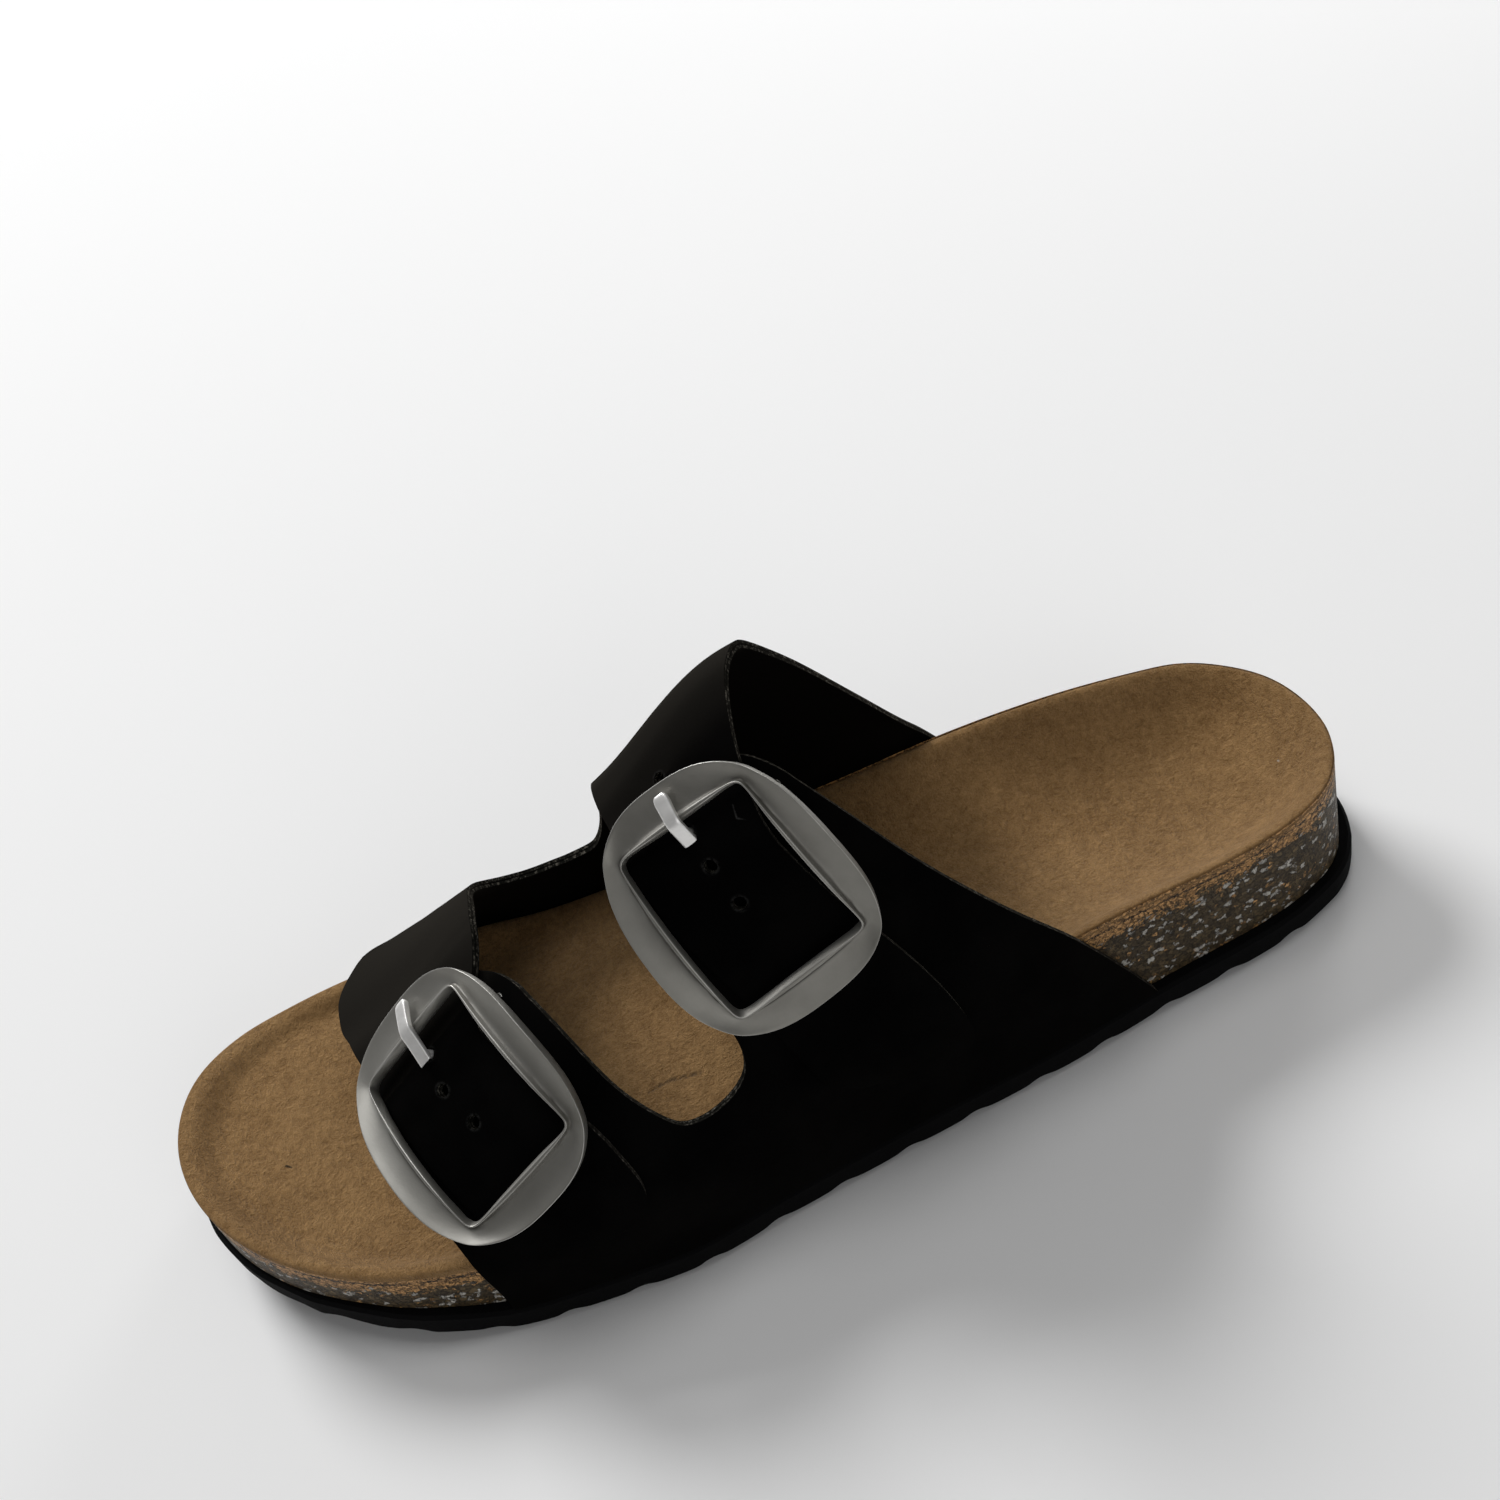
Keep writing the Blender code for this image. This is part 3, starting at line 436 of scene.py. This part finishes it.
cork_bed = merged_copy("midsole", "cork_bed")
crease(cork_bed, CORK_SHARP)
rounded(cork_bed)
broken_edges(cork_bed, CORK_SHARP, 0.25 * MM)
over = nearest_spots(cork_bed, rim_spots, flat=True)
keep(cork_bed, "below", [rim_spots[i].z - v.co.z
                         for v, (i, _) in zip(cork_bed.data.vertices, over)])
cork = Finish("cork", Specular_IOR_Level=0.25, Coat_Roughness=0.38, Coat_Weight=0.16)
below = cork.named("below")
crumb_place = cork.scaled(1.0, 1.0, 1.35, cork.ruffled(1300.0, 0.0024, 4.0))
wide = cork.noise(170.0, 3.0, 0.6)
kind, shade = cork.random(CRUMBS, crumb_place), cork.random(CRUMBS, crumb_place, 1)
fine = cork.random(FINE_CRUMBS, crumb_place)
gaps = cork.cells(CRUMBS, crumb_place, "DISTANCE_TO_EDGE").step(0.0, 0.10)
brown = cork.node("ShaderNodeValToRGB", {"stops": (
    (0.00, (0.028, 0.017, 0.006)), (0.50, (0.075, 0.050, 0.020)), (0.80, (0.120, 0.082, 0.036)),
    (1.00, (0.180, 0.120, 0.052)))}, shade * 0.6 + fine * 0.4)
pale = cork.blend(fine, (0.28, 0.265, 0.235), (0.66, 0.63, 0.57))
tan = cork.blend(fine, (0.30, 0.150, 0.045), (0.72, 0.400, 0.150))
band = 1.0 - (below + wide * 0.009 - 0.0045).step(2.2 * MM, 6.2 * MM)
chips = cork.blend((kind + wide * 0.16).step(0.945, 0.96) * (1.0 - band * 0.8), brown, pale)
small = cork.random(SMALL_CRUMBS, crumb_place)
chips = cork.blend((small + band * 1.05).step(0.955, 0.98), chips, tan)
# Painted shadow: a thin dark line just under the suede's edge, where the gap between suede and cork
# lies in shade
gap_shadow = below + fine * 0.0006 - GAP_SHADOW_BELOW
gap_shadow = 1.0 - gap_shadow.size().step(0.12 * MM, 0.35 * MM)
colour = cork.blend(gaps, (0.016, 0.010, 0.005), chips)
colour = cork.blend(gap_shadow * wide.step(0.35, 0.5), colour, (0.010, 0.006, 0.003))
cork.fill(Base_Color=colour, Roughness=0.70 - 0.12 * gaps,
          Normal=cork.bump(gaps + fine * 0.5 + kind * 0.4 * (1.0 + band), 0.4 * MM, 0.85))
put_on(cork_bed, cork, "midsole")

# %% [markdown]
# ## The straps
# Nubuck is buffed on its outer side, so it is matte with a soft sheen where it turns from the
# light. It is cut, not turned in, so its edge shows: two grey layers of fibre with a dark line of
# glue between them. The solid knows nothing of layers, so every point gets its depth in the wall,
# 0 outside and 1 inside, before the wall is rounded. Rounding then fills in the values between.
# The tops of the straps that turn towards the light are painted a little paler than the side, a
# painted sheen.


# %% Depth in the leather
SHOE_AXIS = Vector((0.0, -0.09, 0.045))
# The way towards the key light. Strap faces turned to it, on the side of the shoe nearer the light,
# get a painted sheen; buckle faces turned to it get a painted highlight.
LIGHT_WAY = Vector((-0.58, -0.25, 0.78)).normalized()
LIT_SIDE_FROM, LIT_SIDE_FULL = 18 * MM, 2 * MM
LEATHER_SHARP = 50
HOLE_SPAN = 4.5 * MM


def face_groups(mesh):
    """Groups of faces that no sharp edge divides, largest first, as point numbers."""
    bm = bmesh.new()
    bm.from_mesh(mesh)
    bm.faces.ensure_lookup_table()
    seen, groups = set(), []
    for start in bm.faces:
        if start.index in seen:
            continue
        seen.add(start.index)
        stack, group = [start], []
        while stack:
            face = stack.pop()
            group.append(face)
            for edge in face.edges:
                if edge.calc_face_angle(math.pi) > math.radians(LEATHER_SHARP):
                    continue
                for other in edge.link_faces:
                    if other.index not in seen:
                        seen.add(other.index)
                        stack.append(other)
        area = sum(f.calc_area() for f in group)
        outward = sum(f.calc_area() * f.normal.dot(f.calc_center_median() - SHOE_AXIS)
                      for f in group)
        groups.append((area, outward, {v.index for f in group for v in f.verts}))
    bm.free()
    return sorted(groups, key=lambda g: -g[0])


def leather_piece(node, name, finish):
    """A panel that knows its depth, cut edges, strap holes and the faces turned to the light, for a
    painted sheen.
    """
    piece = merged_copy(node, name)
    mesh = piece.data
    groups = face_groups(mesh)
    (_, _, outer), (_, _, inner) = sorted(groups[:2], key=lambda g: -g[1])
    keep(piece, "depth", [1.0 if v.index in inner else 0.0 for v in mesh.vertices])
    hole = set()
    for _, _, points in groups[2:]:
        spots = [mesh.vertices[i].co for i in points]
        if max((a - b).length for a in spots for b in spots) < HOLE_SPAN:
            hole |= points
    keep(piece, "hole", [1.0 if v.index in hole else 0.0 for v in mesh.vertices])
    print(name, "outer", len(outer), "inner", len(inner), "holes", len(hole))
    crease(piece, LEATHER_SHARP)
    rounded(piece)
    depth, holes = piece.data.attributes["depth"].data, piece.data.attributes["hole"].data
    cut = [v.co for v in piece.data.vertices if 0.05 < depth[v.index].value < 0.95]
    rings = [v.co for v in piece.data.vertices if holes[v.index].value > 0.97]
    keep(piece, "edge", distances(piece, cut))
    keep(piece, "ring", distances(piece, rings) if rings else [1.0] * len(piece.data.vertices))
    broken_edges(piece, LEATHER_SHARP, 0.14 * MM)
    # How far each point faces the light, on the side of the shoe nearer it, for a painted sheen
    keep(piece, "crown", [max(0.0, v.normal.dot(LIGHT_WAY))
                          * share_of(v.co.x, LIT_SIDE_FROM, LIT_SIDE_FULL) for v in piece.data.vertices])
    put_on(piece, finish, node)
    return piece

# %% Nubuck
nubuck = Finish("nubuck", Specular_IOR_Level=0.0, Sheen_Weight=0.03, Sheen_Roughness=0.40,
                Sheen_Tint=(0.90, 0.80, 0.66, 1))
deep, from_edge, from_hole = nubuck.named("depth"), nubuck.named("edge"), nubuck.named("ring")
fibre = nubuck.noise(2300.0, 4.0, 0.65)
cloud = nubuck.noise(55.0, 3.0, 0.55)
tatter = nubuck.noise(1350.0, 4.0, 0.72)
torn = nubuck.noise(420.0, 3.0, 0.6)
cut = deep.step(0.03, 0.12) * (1.0 - deep.step(0.88, 0.97))
seam = deep + tatter * 0.16 - 0.57
glue = 1.0 - seam.size().step(0.03, 0.13)
layer = nubuck.blend(tatter.step(0.47, 0.66) * torn.step(0.30, 0.6),
                     (0.007, 0.007, 0.006), (0.135, 0.125, 0.105))
edge_colour = nubuck.blend(glue, layer, (0.0015, 0.0015, 0.0015))
worn = (1.0 - (from_edge + tatter * 0.0005).step(0.25 * MM, 0.85 * MM)) * tatter.step(0.48, 0.66)
ring = 1.0 - (from_hole + tatter * 0.0006).step(0.45 * MM, 1.05 * MM)
face = nubuck.blend(cloud.step(0.3, 0.7) * 0.5 + fibre * 0.5,
                    (0.0006, 0.0006, 0.0007), (0.0036, 0.0034, 0.0033))
# Painted sheen: the faces turned to the light are painted paler
crown = nubuck.named("crown").step(0.30, 1.05)
face = nubuck.blend(crown * (0.7 + 0.3 * fibre), face, (0.0165, 0.0150, 0.0128))
face = nubuck.blend(worn * 0.5, face, (0.050, 0.046, 0.038))
face = nubuck.blend(ring * tatter.step(0.40, 0.62) * 0.25, face, (0.055, 0.055, 0.053))
# One small scratch, a crescent on the rear strap
mark = nubuck.from_line([(17.0, -91.3, 94.6), (18.6, -91.5, 92.7), (19.5, -89.1, 91.8)])
scratched = 1.0 - (mark + fibre * 0.0003).step(0.15 * MM, 0.42 * MM)
face = nubuck.blend(scratched * 0.5, face, (0.060, 0.060, 0.058))
inside = deep.step(0.9, 1.0)
face = nubuck.blend(inside, face, (0.0022, 0.0020, 0.0018))
nubuck.fill(Base_Color=nubuck.blend(cut, face, edge_colour),
            Roughness=0.70 + 0.25 * cut.most(inside) - 0.06 * cloud,
            Normal=nubuck.bump(fibre * 0.3 + tatter * cut * 1.6 - ring * 0.5, 0.18 * MM, 0.55))

# %% Straps
leather_piece("upper_lateral", "strap_panel_outer", nubuck)
leather_piece("upper_medial", "strap_panel_inner", nubuck)

# %% [markdown]
# ## The buckles
# The frames are cast zinc with a pewter look: a metal that is grey all through, tumbled until it
# is matte. The lips and the outer edge are rubbed brighter, the side that faces the light is
# painted brighter as a painted highlight, and the grooves keep the dark of the plating bath.

# %% Buckles
pewter = Finish("pewter", Metallic=0.92, Specular_IOR_Level=0.5)
tumble = pewter.noise(1900.0, 3.0, 0.6)
haze = pewter.noise(140.0, 3.0, 0.55)
bulge = pewter.named("bulge")
rubbed = (bulge + (haze - 0.5) * 0.06).step(0.04, 0.16)
hollow = (-bulge).step(0.02, 0.12)
colour = pewter.blend(haze, (0.205, 0.198, 0.178), (0.300, 0.292, 0.266))
# Painted highlight: the side that faces the light is painted brighter
colour = pewter.blend(pewter.named("crown").step(0.1, 0.8) * 0.22, colour, (0.700, 0.690, 0.660))
colour = pewter.blend(hollow * 0.85, colour, (0.040, 0.036, 0.030))
colour = pewter.blend(rubbed * 0.7, colour, (0.62, 0.61, 0.58))
pewter.fill(Base_Color=colour, Roughness=0.46 + 0.08 * tumble - 0.14 * rubbed,
            Normal=pewter.bump(tumble + haze * 2.0, 0.04 * MM, 0.5))
for which in ("front", "rear"):
    buckle = merged_copy("buckle_" + which, "pewter_frame_" + which)
    rounded(buckle)
    keep_bulge(buckle)
    # How far each point faces the light, for the painted highlight
    keep(buckle, "crown", [max(0.0, v.normal.dot(LIGHT_WAY)) for v in buckle.data.vertices])
    put_on(buckle, pewter, "buckle_" + which)

# %% [markdown]
# ## The prongs
# Each prong is a short strip of bright steel, flat on top, with its edges broken so that they catch
# the light.

# %% Prongs
PRONG_SHARP = 62
steel = Finish("steel", Metallic=0.6, Specular_IOR_Level=0.5)
scratch = steel.noise(900.0, 3.0, 0.6, steel.scaled(1.0, 0.2, 1.0))
steel.fill(Base_Color=steel.blend(scratch, (0.78, 0.77, 0.75), (0.93, 0.92, 0.90)),
           Roughness=0.28 + 0.14 * scratch)
for which in ("front", "rear"):
    prong = merged_copy("prong_" + which, "steel_prong_" + which)
    crease(prong, PRONG_SHARP)
    rounded(prong)
    broken_edges(prong, PRONG_SHARP, 0.15 * MM)
    put_on(prong, steel, "prong_" + which)

# %% [markdown]
# ## Floor and light
# The shoe stands on a sheet of white paper. One large soft light hangs on the inner side of the
# shoe and beyond its toe, so the far wall of the heel cup and the outer panel fall into shade, and
# a grazing sheen runs over the tops of the straps. Three weaker ones open the shadows.

# %% Floor and lights
bpy.ops.mesh.primitive_plane_add(size=6.0, location=(0.0, -0.1, 0.0))
floor = bpy.context.object
floor.name = "floor"
paper = Finish("paper", Roughness=0.9, Specular_IOR_Level=0.1)
paper.shader.inputs["Base Color"].default_value = (0.86, 0.86, 0.86, 1)
floor.data.materials.append(paper.material)


MIDDLE = Vector((0.0, -0.1, 0.03))


def soft_light(name, at, size, power):
    """A round lamp that looks at the middle of the shoe."""
    data = bpy.data.lights.new(name, "AREA")
    data.shape, data.size, data.energy = "DISK", size, power
    lamp = bpy.data.objects.new(name, data)
    lamp.location = at
    lamp.rotation_euler = (MIDDLE - Vector(at)).to_track_quat("-Z", "Y").to_euler()
    bpy.context.scene.collection.objects.link(lamp)


soft_light("key", (-1.64, -0.90, 1.60), 1.1, 43.0)
soft_light("top", (-0.15, -0.25, 2.0), 1.0, 8.0)
soft_light("rim", (-0.70, 0.45, 0.34), 0.35, 1.5)
soft_light("fill", (1.60, 0.30, 0.80), 1.2, 5.0)
world = bpy.data.worlds.new("studio")
bpy.context.scene.world = world
world.use_nodes = True
world.node_tree.nodes["Background"].inputs["Color"].default_value = (1, 1, 1, 1)
world.node_tree.nodes["Background"].inputs["Strength"].default_value = 0.16
bpy.context.scene.view_settings.view_transform = "Standard"
